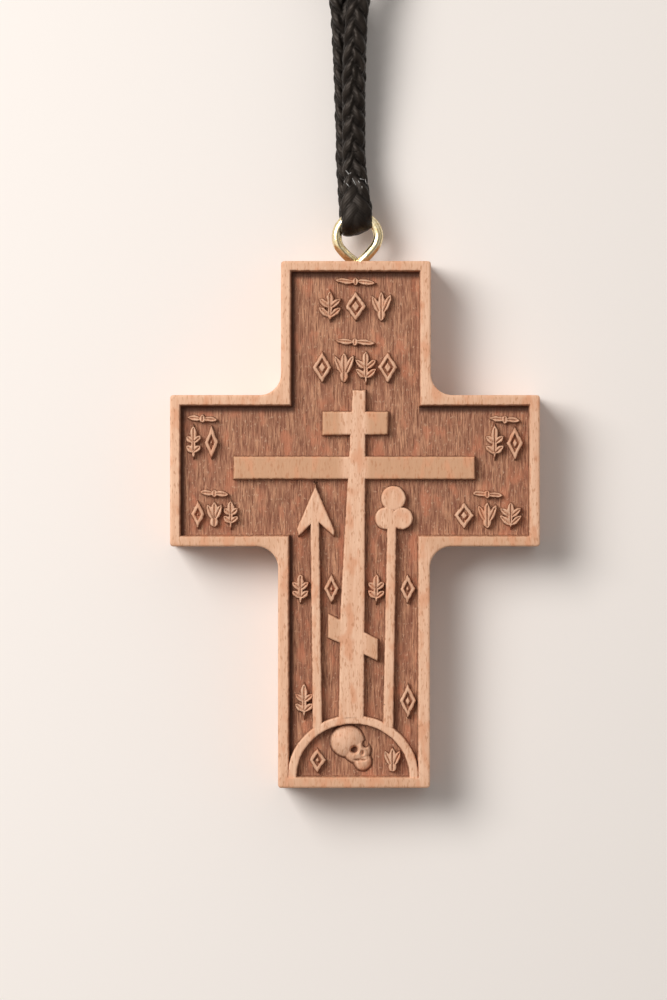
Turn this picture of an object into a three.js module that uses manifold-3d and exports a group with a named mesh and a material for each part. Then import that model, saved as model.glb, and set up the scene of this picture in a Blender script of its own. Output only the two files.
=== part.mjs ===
// A small carved wooden cross that hangs from a braided neck cord by a brass screw eye.
// It lies on its back: +Z points out of the carved face, +Y towards the eye, +X to the right.
// The origin is the middle of the back face. All lengths are in millimetres.
import * as THREE from 'three';
import { mergeVertices } from 'three/addons/utils/BufferGeometryUtils.js';
import Module from 'manifold-3d';

// Wooden block
const crossHeight = 51.3;
const crossWidth = 36;
const crossThickness = 6.2;
const topArmWidth = 14.6;
const stemWidth = 14.9;
const sideArmHeight = 14.75;
const sideArmRise = 5.23;
const innerCornerRadius = 2.1;
const edgeChamfer = 0.25;

// Sunk panel and the figures left standing in it
const rimWidth = 0.95;
const panelDepth = 1;
const panelWallRun = 0.35;
const figureDrop = 0.1;
const figureWallRun = 0.15;
const ornamentDrop = 0.3;
const figureRoot = 0.2;

// Three-barred cross
const uprightWidth = 2.07;
const uprightTopAboveArms = 7.76;
const footWidth = 2.4;
const footShift = 0.3;
const upperBarWidth = 6.3;
const upperBarHeight = 2.19;
const upperBarAboveArms = 4.62;
const mainBarWidth = 23.4;
const mainBarHeight = 2.1;
const mainBarAboveArms = 0.28;
const slantBarWidth = 4.75;
const slantBarHeight = 2.2;
const slantBarDrop = 2.34;
const slantBarBelowArms = 16.27;

// Hill, skull, spear and reed
const hillHalfWidth = 6.3;
const hillHeight = 5.95;
const hillBand = 0.8;
const skullWidth = 3.3;
const skullLength = 4.2;
const jawWidth = 2.05;
const skullTilt = 38;
const skullAboveSill = 2.75;
const spearAcross = -3.8;
const spearTipBelowArms = 1.62;
const spearHeadLength = 4.6;
const spearHeadWidth = 3.3;
const spearNotchRise = 1.65;
const reedAcross = 3.4;
const reedTipBelowArms = 1.5;
const reedLobeRadius = 1.07;
const reedSideLobeRadius = 1.02;
const reedSideLobeAcross = 0.8;
const reedSideLobeDrop = 1.93;
const shaftWidth = 0.8;

// Screw eye
const eyeWire = 0.95;
const eyeInside = 3.1;
const eyeAcross = 0.25;
const shankInWood = 6;
const shankPoint = 1.2;
const pointWidthShare = 0.2;
const eyeSeatRadius = 1.6;
const eyeSeatDepth = 0.6;

// Cord
const cordDiameter = 2.3;
const loopWidth = 2.5;
const loopThickness = 1.9;
const frontShift = 0.35;
const rearShift = 0.95;
const stitchThread = 0.34;
const stitchRise = 0.5;
const seamHalfWidth = 0.85;
const seamAboveWrap = 2.6;
const coilRadius = 18.6;
const coilPitch = 3.1;
const coilTurns = 6.5;
const coilBeyondBend = 43.7;
const bendAboveEye = 8.35;
const swayLimit = 70;

// Clearance between neighbouring pieces
const clearance = 0.3;

// Sides of a round carved figure
const roundSides = 12;

const crossTop = crossHeight / 2;
const crossFoot = -crossHeight / 2;
const armEnd = crossWidth / 2;
const panelFloor = crossThickness - panelDepth;
const panelSill = crossFoot + rimWidth;
const eyeRadius = (eyeInside + eyeWire) / 2;
const eyeHeight = crossThickness / 2;
const eyeCentreY = crossTop + eyeRadius + eyeWire / 2;
const bendY = eyeCentreY + bendAboveEye;
const rearStrandZ = cordDiameter / 2;
const frontStrandZ = rearStrandZ + cordDiameter + clearance;
const wrapRadius = eyeWire / 2 + clearance + loopThickness / 2;
const wrapY = eyeCentreY + eyeRadius;
const coilCentre = new THREE.Vector2(-0.5, bendY + coilBeyondBend);

const wasm = await Module();
wasm.setup();

// Solid of a closed three.js geometry.
function solid(geometry) {
  geometry.deleteAttribute('normal');
  geometry.deleteAttribute('uv');
  const merged = mergeVertices(geometry, 1e-5);
  return new wasm.Manifold(new wasm.Mesh({
    numProp: 3,
    vertProperties: new Float32Array(merged.attributes.position.array),
    triVerts: new Uint32Array(merged.index.array),
  }));
}

// Geometry of a solid.
function geometryOf(body) {
  const mesh = body.getMesh();
  const geometry = new THREE.BufferGeometry();
  geometry.setAttribute('position', new THREE.BufferAttribute(mesh.vertProperties, 3));
  geometry.setIndex(new THREE.BufferAttribute(mesh.triVerts, 1));
  return geometry;
}

// Points of a polygon with every side moved outwards by one distance; the points run anticlockwise.
function grown(points, distance) {
  return points.map((point, index) => {
    const before = points[(index + points.length - 1) % points.length];
    const after = points[(index + 1) % points.length];
    const inward = point.clone().sub(before).normalize();
    const outward = after.clone().sub(point).normalize();
    const normalIn = new THREE.Vector2(inward.y, -inward.x);
    const normalOut = new THREE.Vector2(outward.y, -outward.x);
    const mitre = normalIn.add(normalOut);
    return point.clone().addScaledVector(mitre, 2 * distance / mitre.lengthSq());
  });
}

// Prism between two polygons of equally many points, each lying flat at its own height.
function prism(low, lowZ, high, highZ) {
  const count = low.length;
  const positions = [];
  low.forEach((point) => positions.push(point.x, point.y, lowZ));
  high.forEach((point) => positions.push(point.x, point.y, highZ));
  const faces = [];
  THREE.ShapeUtils.triangulateShape(low, []).forEach(([a, b, c]) => faces.push(c, b, a));
  THREE.ShapeUtils.triangulateShape(high, []).forEach((corners) => {
    faces.push(...corners.map((corner) => count + corner));
  });
  for (let i = 0; i < count; i += 1) {
    const next = (i + 1) % count;
    faces.push(i, next, count + next);
    faces.push(i, count + next, count + i);
  }
  const geometry = new THREE.BufferGeometry();
  geometry.setAttribute('position', new THREE.Float32BufferAttribute(positions, 3));
  geometry.setIndex(faces);
  return solid(geometry);
}

// Figure that stands on the panel floor, with walls that spread towards its root.
function figure(points, drop = figureDrop) {
  const root = panelFloor - figureRoot;
  return prism(grown(points, figureWallRun), root, points, crossThickness - drop);
}

function polygon(...pairs) {
  return pairs.map(([x, y]) => new THREE.Vector2(x, y));
}

function rectangle(centreX, centreY, width, height) {
  return polygon(
    [centreX - width / 2, centreY - height / 2],
    [centreX + width / 2, centreY - height / 2],
    [centreX + width / 2, centreY + height / 2],
    [centreX - width / 2, centreY + height / 2],
  );
}

function ellipse(centreX, centreY, radiusX, radiusY, count, turn = 0) {
  const curve = new THREE.EllipseCurve(centreX, centreY, radiusX, radiusY, 0, 2 * Math.PI, false, turn);
  return curve.getPoints(count).slice(0, count);
}

// Outline of the cross, anticlockwise from the foot; inset moves every straight side inwards.
function crossOutline(inset, cornerRadius) {
  const stem = stemWidth / 2 - inset;
  const top = topArmWidth / 2 - inset;
  const armLow = sideArmRise - sideArmHeight / 2 + inset;
  const armHigh = sideArmRise + sideArmHeight / 2 - inset;
  const end = armEnd - inset;
  const shape = new THREE.Shape();
  shape.moveTo(-stem, crossFoot + inset);
  shape.lineTo(stem, crossFoot + inset);
  if (cornerRadius > 0) {
    const r = cornerRadius;
    shape.absarc(stem + r, armLow - r, r, Math.PI, Math.PI / 2, true);
    shape.lineTo(end, armLow);
    shape.lineTo(end, armHigh);
    shape.absarc(top + r, armHigh + r, r, -Math.PI / 2, -Math.PI, true);
    shape.lineTo(top, crossTop - inset);
    shape.lineTo(-top, crossTop - inset);
    shape.absarc(-top - r, armHigh + r, r, 0, -Math.PI / 2, true);
    shape.lineTo(-end, armHigh);
    shape.lineTo(-end, armLow);
    shape.absarc(-stem - r, armLow - r, r, Math.PI / 2, 0, true);
  } else {
    shape.lineTo(stem, armLow);
    shape.lineTo(end, armLow);
    shape.lineTo(end, armHigh);
    shape.lineTo(top, armHigh);
    shape.lineTo(top, crossTop - inset);
    shape.lineTo(-top, crossTop - inset);
    shape.lineTo(-top, armHigh);
    shape.lineTo(-end, armHigh);
    shape.lineTo(-end, armLow);
    shape.lineTo(-stem, armLow);
  }
  return shape;
}

function block() {
  const geometry = new THREE.ExtrudeGeometry(crossOutline(edgeChamfer, innerCornerRadius + edgeChamfer), {
    depth: crossThickness - 2 * edgeChamfer,
    bevelEnabled: true,
    bevelThickness: edgeChamfer,
    bevelSize: edgeChamfer,
    bevelSegments: 1,
    curveSegments: 6,
  });
  geometry.translate(0, 0, edgeChamfer);
  return solid(geometry);
}

// Space of the sunk panel: its mouth is the rim's inner edge, and its walls lean in towards the floor.
function panelSpace() {
  const slope = panelWallRun / panelDepth;
  const over = 0.5;
  const floorLine = crossOutline(rimWidth + panelWallRun, 0).getPoints();
  const overLine = crossOutline(rimWidth - slope * over, 0).getPoints();
  return prism(floorLine, panelFloor, overLine, crossThickness + over);
}

// Upright with its wider foot, and the three bars across it; the foot stands on the hill.
function threeBarredCross() {
  const top = sideArmRise + uprightTopAboveArms;
  const slantY = sideArmRise - slantBarBelowArms;
  const slantLow = slantY - slantBarHeight / 2;
  const slantHigh = slantY + slantBarHeight / 2;
  const footTop = slantLow - slantBarDrop / 2;
  const footEnd = panelSill + hillHeight - hillBand / 2;
  const halfSlant = slantBarWidth / 2;
  return [
    figure(polygon(
      [-footShift - footWidth / 2, footEnd],
      [-footShift + footWidth / 2, footEnd],
      [-footShift + footWidth / 2, footTop],
      [uprightWidth / 2, footTop + footWidth],
      [uprightWidth / 2, top],
      [-uprightWidth / 2, top],
      [-uprightWidth / 2, footTop + footWidth],
      [-footShift - footWidth / 2, footTop],
    )),
    figure(rectangle(0, sideArmRise + upperBarAboveArms, upperBarWidth, upperBarHeight)),
    figure(rectangle(0, sideArmRise + mainBarAboveArms, mainBarWidth, mainBarHeight)),
    figure(polygon(
      [-halfSlant, slantLow + slantBarDrop / 2],
      [halfSlant, slantLow - slantBarDrop / 2],
      [halfSlant, slantHigh - slantBarDrop / 2],
      [-halfSlant, slantHigh + slantBarDrop / 2],
    )),
  ];
}

// Half ring that stands on the bottom rim.
function hill() {
  const low = panelSill - rimWidth / 2;
  const arcSteps = 14;
  const innerX = hillHalfWidth - hillBand;
  const innerY = hillHeight - hillBand;
  const outerArc = new THREE.EllipseCurve(0, panelSill, hillHalfWidth, hillHeight, 0, Math.PI);
  const innerArc = new THREE.EllipseCurve(0, panelSill, innerX, innerY, Math.PI, 0, true);
  const outer = outerArc.getPoints(arcSteps);
  const inner = innerArc.getPoints(arcSteps);
  const legRight = polygon([innerX, low], [hillHalfWidth, low]);
  const legLeft = polygon([-hillHalfWidth, low], [-innerX, low]);
  return figure([...legRight, ...outer, ...legLeft, ...inner]);
}

// Rounded skull that lies tilted under the hill: the cranium, then the narrower jaw.
function skull() {
  const turn = THREE.MathUtils.degToRad(skullTilt);
  const centreY = panelSill + skullAboveSill;
  const jawX = Math.sin(turn) * skullLength / 4;
  const jawY = Math.cos(turn) * skullLength / 4;
  const jawSides = 8;
  return [
    figure(ellipse(-jawX / 2, centreY + jawY / 2, skullWidth / 2, skullWidth / 2, roundSides)),
    figure(ellipse(jawX, centreY - jawY, jawWidth / 2, skullLength / 4, jawSides, turn), ornamentDrop),
  ];
}

// Straight shaft from a head down to the hill.
function shaft(across, headY) {
  const reach = Math.abs(across) / hillHalfWidth;
  const hillTop = panelSill + hillHeight * Math.sqrt(1 - reach * reach);
  const foot = hillTop - hillBand / 2;
  return figure(rectangle(across, (headY + foot) / 2, shaftWidth, headY - foot));
}

function spear() {
  const tipY = sideArmRise - spearTipBelowArms;
  const low = tipY - spearHeadLength;
  const barb = spearHeadWidth / 2;
  const notchY = low + spearNotchRise;
  return [
    figure(polygon(
      [spearAcross - barb, low],
      [spearAcross, notchY],
      [spearAcross + barb, low],
      [spearAcross, tipY],
    )),
    shaft(spearAcross, notchY + shaftWidth),
  ];
}

// Reed that ends in three round lobes.
function reed() {
  const topLobeY = sideArmRise - reedTipBelowArms - reedLobeRadius;
  const sideLobeY = topLobeY - reedSideLobeDrop;
  const small = reedSideLobeRadius;
  return [
    figure(ellipse(reedAcross, topLobeY, reedLobeRadius, reedLobeRadius, roundSides)),
    figure(ellipse(reedAcross - reedSideLobeAcross, sideLobeY, small, small, roundSides)),
    figure(ellipse(reedAcross + reedSideLobeAcross, sideLobeY, small, small, roundSides)),
    shaft(reedAcross, sideLobeY),
  ];
}

// Small carved ornaments, in rows: lozenge studs, and over some rows a pointed bar.
// Each row has its middle, how many studs it holds and how far apart, and each stud's width and height.
// A bar has how far it lies above the studs' middle, and its width.
const ornamentRows = [
  { x: 0.07, y: crossTop - 4.4, count: 3, apart: 2.5, stud: [1.9, 2.7], bar: [2.4, 3.7] },
  { x: 0, y: crossTop - 10.35, count: 4, apart: 2.13, stud: [1.75, 2.8], bar: [2.48, 3.6] },
  { x: 3.14 - armEnd, y: sideArmRise + 2.75, count: 2, apart: 1.75, stud: [1.2, 2.9], bar: [2.33, 2.7] },
  { x: 4.3 - armEnd, y: sideArmRise - 4.25, count: 3, apart: 1.6, stud: [1.2, 2.4], bar: [2.05, 2.6] },
  { x: armEnd - 3.4, y: sideArmRise + 2.7, count: 2, apart: 1.97, stud: [1.5, 3], bar: [2.3, 2.7] },
  { x: armEnd - 5.1, y: sideArmRise - 4.35, count: 3, apart: 2.27, stud: [1.8, 2.35], bar: [2.05, 2.7] },
  { x: spearAcross, y: sideArmRise - 11.5, count: 2, apart: 3.02, stud: [1.35, 2.6] },
  { x: reedAcross + 0.2, y: sideArmRise - 11.5, count: 2, apart: 3.05, stud: [1.35, 2.6] },
  { x: 0.1, y: panelSill + 7.5, count: 2, apart: 10.1, stud: [1.5, 3] },
  { x: 0, y: panelSill + 1.75, count: 2, apart: 7.3, stud: [1.5, 2.2] },
];
const barHeight = 0.9;

function ornaments() {
  const made = [];
  const studSides = 4;
  const barSides = 6;
  ornamentRows.forEach(({ x, y, count, apart, stud, bar }) => {
    for (let i = 0; i < count; i += 1) {
      const studX = x + (i - (count - 1) / 2) * apart;
      made.push(figure(ellipse(studX, y, stud[0] / 2, stud[1] / 2, studSides), ornamentDrop));
    }
    if (bar) {
      made.push(figure(ellipse(x, y + bar[0], bar[1] / 2, barHeight / 2, barSides), ornamentDrop));
    }
  });
  return made;
}

// Hole that the eye's shank fills, with the countersunk seat that the wire bends out of.
function shankHole() {
  const over = 1;
  const radius = eyeWire / 2 + clearance;
  const floor = shankInWood + clearance;
  const mouth = eyeSeatRadius * (1 + over / eyeSeatDepth);
  const profile = polygon(
    [0, -floor],
    [radius, -floor],
    [radius, -eyeSeatDepth * (1 - radius / eyeSeatRadius)],
    [mouth, over],
    [0, over],
  );
  const holeSides = 16;
  const geometry = new THREE.LatheGeometry(profile, holeSides);
  geometry.translate(eyeAcross, crossTop, eyeHeight);
  return solid(geometry);
}

function crossBody() {
  let body = block().subtract(panelSpace());
  const figures = [...threeBarredCross(), hill(), ...skull(), ...spear(), ...reed(), ...ornaments()];
  figures.forEach((piece) => {
    body = body.add(piece);
  });
  return geometryOf(body.subtract(shankHole()));
}

// Section of a tube: a polygon with a corner on each end of its first axis.
function section(radiusX, radiusY, sides) {
  return new THREE.Shape(ellipse(0, 0, radiusX, radiusY, sides));
}

function tube(curve, steps, shape) {
  return new THREE.ExtrudeGeometry(shape, { steps, extrudePath: curve, bevelEnabled: false });
}

function smooth(points) {
  return new THREE.CatmullRomCurve3(points.map(([x, y, z]) => new THREE.Vector3(x, y, z)));
}

// One wire: up out of the wood, round the ring from its right side, and back to just short of the shank.
function screwEye() {
  const points = [];
  const tipY = crossTop - shankInWood;
  const shankSteps = 4;
  const wireSteps = 44;
  const wireSides = 10;
  for (let i = 0; i <= shankSteps; i += 1) {
    points.push([eyeAcross, tipY + shankPoint * i, eyeHeight]);
  }
  points.push([eyeAcross, crossTop, eyeHeight]);
  const firstAngle = -46;
  const lastAngle = 232;
  const ringSteps = 14;
  for (let i = 0; i <= ringSteps; i += 1) {
    const angle = THREE.MathUtils.degToRad(firstAngle + (lastAngle - firstAngle) * i / ringSteps);
    points.push([
      eyeAcross + eyeRadius * Math.cos(angle),
      eyeCentreY + eyeRadius * Math.sin(angle),
      eyeHeight,
    ]);
  }
  const geometry = tube(smooth(points), wireSteps, section(eyeWire / 2, eyeWire / 2, wireSides));
  const place = geometry.attributes.position;
  const atTip = tipY + 1e-3;
  for (let i = 0; i < place.count; i += 1) {
    if (place.getY(i) < atTip) {
      place.setX(i, eyeAcross + (place.getX(i) - eyeAcross) * pointWidthShare);
      place.setZ(i, eyeHeight + (place.getZ(i) - eyeHeight) * pointWidthShare);
    }
  }
  return geometryOf(solid(geometry));
}

// Everything on one side of a shallow V across the cord, where the sewn loop sways against the free strands.
function swayCut(side) {
  const slope = Math.tan(THREE.MathUtils.degToRad(swayLimit / 2 + 1));
  const reach = 8;
  const apex = bendY - side * clearance / 2;
  const near = apex - side * reach * slope;
  const far = apex + side * reach;
  const points = polygon([0, apex], [reach, near], [reach, far], [-reach, far], [-reach, near]);
  const outline = side > 0 ? points : points.reverse();
  return prism(outline, -reach, outline, crossThickness + reach);
}

// The cord's bight through the eye: down in front of the ring's wire, round it, and up behind it.
// The stretches next to the half turn are nearly straight.
function cordLoop() {
  const points = [];
  const overlap = 1.5;
  const besideWrapY = wrapY + 2;
  points.push([eyeAcross - frontShift, bendY + overlap, frontStrandZ]);
  points.push([eyeAcross - frontShift, bendY - overlap, frontStrandZ]);
  points.push([eyeAcross, besideWrapY, eyeHeight + wrapRadius - 0.1]);
  const wrapSteps = 8;
  for (let i = 0; i <= wrapSteps; i += 1) {
    const angle = Math.PI / 2 + Math.PI * i / wrapSteps;
    points.push([eyeAcross, wrapY + wrapRadius * Math.cos(angle), eyeHeight + wrapRadius * Math.sin(angle)]);
  }
  points.push([eyeAcross - rearShift / 2, besideWrapY, rearStrandZ]);
  points.push([eyeAcross - rearShift, bendY - overlap, rearStrandZ]);
  points.push([eyeAcross - rearShift, bendY + overlap, rearStrandZ]);
  const loopSteps = 34;
  const loopSides = 10;
  const loopSection = section(loopWidth / 2, loopThickness / 2, loopSides);
  const whole = solid(tube(smooth(points), loopSteps, loopSection));
  return geometryOf(whole.subtract(swayCut(1)));
}

// Thread that sews the two strands together, in a zigzag across the front one.
function seamThread() {
  const passes = 5;
  const threadSteps = 40;
  const threadSides = 6;
  const lowY = wrapY + seamAboveWrap;
  const points = [];
  for (let i = 0; i <= passes; i += 1) {
    const y = lowY + stitchRise * i;
    const share = (y - wrapY) / (bendY - wrapY);
    const strandZ = eyeHeight + wrapRadius + share * (frontStrandZ - eyeHeight - wrapRadius);
    const z = strandZ + loopThickness / 2 + 1.5 * clearance + stitchThread / 2;
    const strandX = eyeAcross - share * frontShift;
    points.push([strandX + (i % 2 ? seamHalfWidth : -seamHalfWidth), y, z]);
  }
  return tube(smooth(points), threadSteps, section(stitchThread / 2, stitchThread / 2, threadSides));
}

// Wound coil: it spirals in on the surface, climbs a layer in the middle half turn, and spirals out
// again on top.
class CoilCurve extends THREE.Curve {
  getPoint(share, target = new THREE.Vector3()) {
    const endShare = cordDiameter / (2 * Math.PI * coilRadius);
    const turn = (coilTurns + 2 * endShare) * share - endShare;
    const wound = THREE.MathUtils.clamp(turn, 0, coilTurns);
    const radius = coilRadius - coilPitch * Math.min(wound, coilTurns - wound);
    const angle = 2 * Math.PI * wound;
    const climb = THREE.MathUtils.smoothstep(wound, coilTurns / 2 - 0.25, coilTurns / 2 + 0.25);
    const straight = (turn - wound) * 2 * Math.PI * coilRadius;
    return target.set(
      coilCentre.x + radius * Math.cos(angle) - straight * Math.sin(angle),
      coilCentre.y + radius * Math.sin(angle) + straight * Math.cos(angle),
      rearStrandZ + climb * coilPitch,
    );
  }
}

function coilCurve() {
  const curve = new CoilCurve();
  curve.arcLengthDivisions = 2000;
  return curve;
}

function cordCoil() {
  const stepsPerTurn = 24;
  const coilSides = 6;
  const steps = Math.round(coilTurns * stepsPerTurn) + 2;
  return tube(coilCurve(), steps, section(cordDiameter / 2, cordDiameter / 2, coilSides));
}

// Least distance between the surfaces of two stretches of the coil, taken on points along its middle line.
function coilGap() {
  const count = 1200;
  const curve = coilCurve();
  const points = curve.getSpacedPoints(count);
  const apart = Math.ceil(count * 4 * cordDiameter / curve.getLength());
  let least = Infinity;
  for (let i = 0; i < count; i += 1) {
    for (let j = i + apart; j <= count; j += 1) {
      least = Math.min(least, points[i].distanceTo(points[j]));
    }
  }
  return least - cordDiameter;
}

// Free strand: from the loop, up past the cross, and out to its own side of the coil.
function strand(points) {
  const strandSteps = 22;
  const strandSides = 8;
  const strandSection = section(cordDiameter / 2, cordDiameter / 2, strandSides);
  const whole = solid(tube(smooth(points), strandSteps, strandSection));
  return geometryOf(whole.subtract(swayCut(-1)));
}

const coilEnd = cordDiameter + clearance;
const strandStart = bendY - 1.5;
const topLayerZ = rearStrandZ + coilPitch;

const rightRoute = [
  [eyeAcross - frontShift, strandStart, frontStrandZ],
  [-0.1, 38.5, frontStrandZ],
  [-0.1, 43, frontStrandZ + 0.4],
  [0.05, 47.5, frontStrandZ + 0.8],
  [0.5, 51.8, frontStrandZ + 0.6],
  [2.2, 55.6, frontStrandZ - 0.3],
  [5.2, 58.7, rearStrandZ + 1.05],
  [8.8, 61.4, rearStrandZ + 0.35],
  [12.4, 64.5, rearStrandZ + 0.05],
  [15.3, 68.5, rearStrandZ],
  [17.2, 73, rearStrandZ],
  [coilCentre.x + coilRadius, coilCentre.y - coilEnd, rearStrandZ],
];

const leftRoute = [
  [eyeAcross - rearShift, strandStart, rearStrandZ],
  [-0.75, 38.5, rearStrandZ + 0.06],
  [-0.9, 43, rearStrandZ + 0.45],
  [-1.1, 47.5, rearStrandZ + 1.05],
  [-1.5, 51.8, rearStrandZ + 1.25],
  [-3.2, 55.6, rearStrandZ + 1.15],
  [-6.2, 58.7, rearStrandZ + 0.85],
  [-9.8, 61.4, rearStrandZ + 0.7],
  [-13.4, 64.5, rearStrandZ + 0.9],
  [-16.3, 68.5, rearStrandZ + 1.7],
  [-18.2, 73, topLayerZ - 0.35],
  [coilCentre.x - coilRadius, coilCentre.y - coilEnd, topLayerZ],
];

const wood = new THREE.MeshStandardMaterial({ color: 0xd9a07c, roughness: 0.62, metalness: 0 });
const brass = new THREE.MeshStandardMaterial({ color: 0xd8b45c, roughness: 0.25, metalness: 1 });
const cord = new THREE.MeshStandardMaterial({ color: 0x17151a, roughness: 0.75, metalness: 0 });
const thread = new THREE.MeshStandardMaterial({ color: 0x2a282c, roughness: 0.35, metalness: 0 });

function named(name, geometry, material) {
  const mesh = new THREE.Mesh(geometry, material);
  mesh.name = name;
  return mesh;
}

const pendant = new THREE.Group();
pendant.add(named('cross_body', crossBody(), wood));
pendant.add(named('screw_eye', screwEye(), brass));

const neckCord = new THREE.Group();
neckCord.add(named('cord_loop', cordLoop(), cord));
neckCord.add(named('seam_thread', seamThread(), thread));
neckCord.add(named('cord_right_strand', strand(rightRoute), cord));
neckCord.add(named('cord_left_strand', strand(leftRoute), cord));
neckCord.add(named('cord_coil', cordCoil(), cord));

const cordLength = coilCurve().getLength() + smooth(rightRoute).getLength() + smooth(leftRoute).getLength();
console.log(`least gap of the coil to itself: ${coilGap().toFixed(2)} mm`);
console.log(`coil and strands: ${cordLength.toFixed(0)} mm of cord`);

const cross = new THREE.Group();
cross.add(pendant, neckCord);
export default cross;
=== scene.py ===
"""A small carved wooden cross with a brass screw eye, on a braided black neck cord."""
import math

import bmesh
import bpy
import numpy as np
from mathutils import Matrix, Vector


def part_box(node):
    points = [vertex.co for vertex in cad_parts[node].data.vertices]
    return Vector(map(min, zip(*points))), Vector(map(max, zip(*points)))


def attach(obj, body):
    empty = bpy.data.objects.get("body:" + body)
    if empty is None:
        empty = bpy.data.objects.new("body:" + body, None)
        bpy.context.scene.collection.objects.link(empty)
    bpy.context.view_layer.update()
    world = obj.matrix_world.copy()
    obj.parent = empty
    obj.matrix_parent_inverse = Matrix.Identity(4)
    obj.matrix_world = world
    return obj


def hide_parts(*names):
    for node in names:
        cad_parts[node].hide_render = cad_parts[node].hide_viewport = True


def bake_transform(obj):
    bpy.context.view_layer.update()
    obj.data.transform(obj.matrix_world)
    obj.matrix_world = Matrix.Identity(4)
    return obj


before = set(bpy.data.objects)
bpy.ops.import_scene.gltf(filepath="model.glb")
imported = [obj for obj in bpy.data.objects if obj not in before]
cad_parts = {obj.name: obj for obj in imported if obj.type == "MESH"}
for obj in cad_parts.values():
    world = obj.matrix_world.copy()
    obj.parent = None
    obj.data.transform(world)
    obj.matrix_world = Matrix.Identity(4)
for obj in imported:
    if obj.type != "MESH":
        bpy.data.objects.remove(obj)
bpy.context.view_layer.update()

# Shapes are worked out in millimetres and become metres when a mesh is made.
MM = 0.001

# Wooden block, from the frame
wood_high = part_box("cross_body")[1]
half_width = wood_high[0] / MM
cross_top = wood_high[1] / MM
face_z = wood_high[2] / MM

# Outline of the block
top_arm = (-7.2, 7.39)
stem = (-7.49, 7.3)
arms = (-2.14, 12.6)
fillet_radius = 2.1
corner_radius = 0.3
edge_radius = 0.22

# Sunk panel: its mouth's edges, its depth and how far its walls lean
mouth_top_arm = (-6.34, 6.42)
mouth_stem = (-6.52, 6.22)
mouth_arms = (-1.2, 11.66)
mouth_ends = (-17.1, 17.05)
mouth_feet = (-24.66, 24.74)
panel_depth = 1.0
wall_run = 0.24
panel_floor = face_z - panel_depth
mouth_edge = 0.07

# Screw eye
wire_radius = 0.495
eye_x = 0.25
eye_radius = 2.025
eye_z = face_z / 2
eye_y = cross_top + eye_radius + wire_radius
seat_radius = 1.6
seat_depth = 0.55

# Cord
cord_diameter = 2.3
bend_y = 36.5
wrap_y = eye_y + eye_radius
braid_step = 1.85
braid_strands = 4
coil_radius = 18.6
coil_pitch = 3.1
coil_turns = 6.5
coil_centre = (-0.5, 80.2)
lowest_layer = cord_diameter / 2

# Picture: its middle in the part's frame, its height there, and how far off the camera stands
picture_middle = (-2.092, 2.384)
picture_height = 97.3
camera_distance = 450.0


def smooth_step(value, low=0.0, high=1.0):
    """0 below low, 1 above high, and 3t^2 - 2t^3 between them."""
    t = np.clip((value - low) / (high - low), 0, 1)
    return t * t * (3 - 2 * t)


def unevenness(x, y, cell_x, cell_y, seed):
    """Smooth random heights from -1 to 1: seeded numbers on a lattice, with smooth steps between them."""
    size = 256
    lattice = np.random.default_rng(seed).uniform(-1, 1, (size, size))
    across = x / cell_x + size / 2
    along = y / cell_y + size / 2
    column = np.floor(across).astype(int)
    row = np.floor(along).astype(int)
    share_x = smooth_step(across - column)
    share_y = smooth_step(along - row)

    def on_row(number):
        left = lattice[number % size, column % size]
        right = lattice[number % size, (column + 1) % size]
        return left * (1 - share_x) + right * share_x

    return on_row(row) * (1 - share_y) + on_row(row + 1) * share_y


def unit(vectors):
    return vectors / np.linalg.norm(vectors, axis=-1, keepdims=True)


def place_object(name, data):
    made = bpy.data.objects.new(name, data)
    bpy.context.scene.collection.objects.link(made)
    return made


def make_piece(name, vertices, faces, uv=None, **masks):
    """Mesh object of vertices in millimetres; masks are values from 0 to 1, one for each vertex."""
    mesh = bpy.data.meshes.new(name)
    mesh.from_pydata((vertices * MM).tolist(), [], faces)
    if uv is not None:
        mesh.uv_layers.new(name="UVMap").data.foreach_set("uv", uv.astype(np.float32).ravel())
    for mask_name, values in masks.items():
        attribute = mesh.attributes.new(mask_name, "FLOAT", "POINT")
        attribute.data.foreach_set("value", values.astype(np.float32).ravel())
    return place_object(name, mesh)


def close_and_face_outwards(piece):
    """Fills open edges with one face each, and turns every face outwards."""
    work = bmesh.new()
    work.from_mesh(piece.data)
    edges = [edge for edge in work.edges if edge.is_boundary]
    if edges:
        bmesh.ops.holes_fill(work, edges=edges, sides=0)
    bmesh.ops.recalc_face_normals(work, faces=work.faces)
    for face in work.faces:
        face.smooth = True
    work.to_mesh(piece.data)
    work.free()


def dress(piece, material, body=None):
    """Gives a piece its finish and, unless it bends between two bodies, the body that it moves with."""
    piece.data.materials.append(material)
    if body is not None:
        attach(piece, body)
    return piece


# Camera

def set_camera():
    """Long lens straight above the carved face, with +Y up in the picture."""
    data = bpy.data.cameras.new("camera")
    data.sensor_fit = "VERTICAL"
    data.sensor_height = 24.0
    data.sensor_width = 36.0
    data.lens = data.sensor_height * camera_distance / picture_height
    data.clip_start = 0.01
    data.clip_end = 20.0
    camera = place_object("camera", data)
    camera.location = (picture_middle[0] * MM, picture_middle[1] * MM, (face_z + camera_distance) * MM)
    bpy.context.scene.camera = camera


set_camera()


# Shader helpers

def new_material(name):
    material = bpy.data.materials.new(name)
    material.use_nodes = True
    return material, material.node_tree, material.node_tree.nodes["Principled BSDF"]


def feed(tree, node, inputs):
    """Gives a node's inputs what they are to hold: a plain value, or the socket that feeds them."""
    for key, value in inputs.items():
        if isinstance(value, bpy.types.NodeSocket):
            tree.links.new(value, node.inputs[key])
        else:
            node.inputs[key].default_value = value


def add_node(tree, kind, inputs=None, **settings):
    node = tree.nodes.new(kind)
    for key, value in settings.items():
        setattr(node, key, value)
    feed(tree, node, inputs or {})
    return node


def calculate(tree, operation, first, second=0.0, third=0.0):
    """Result of one Math node."""
    inputs = {0: first, 1: second, 2: third}
    return add_node(tree, "ShaderNodeMath", inputs, operation=operation).outputs[0]


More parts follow.
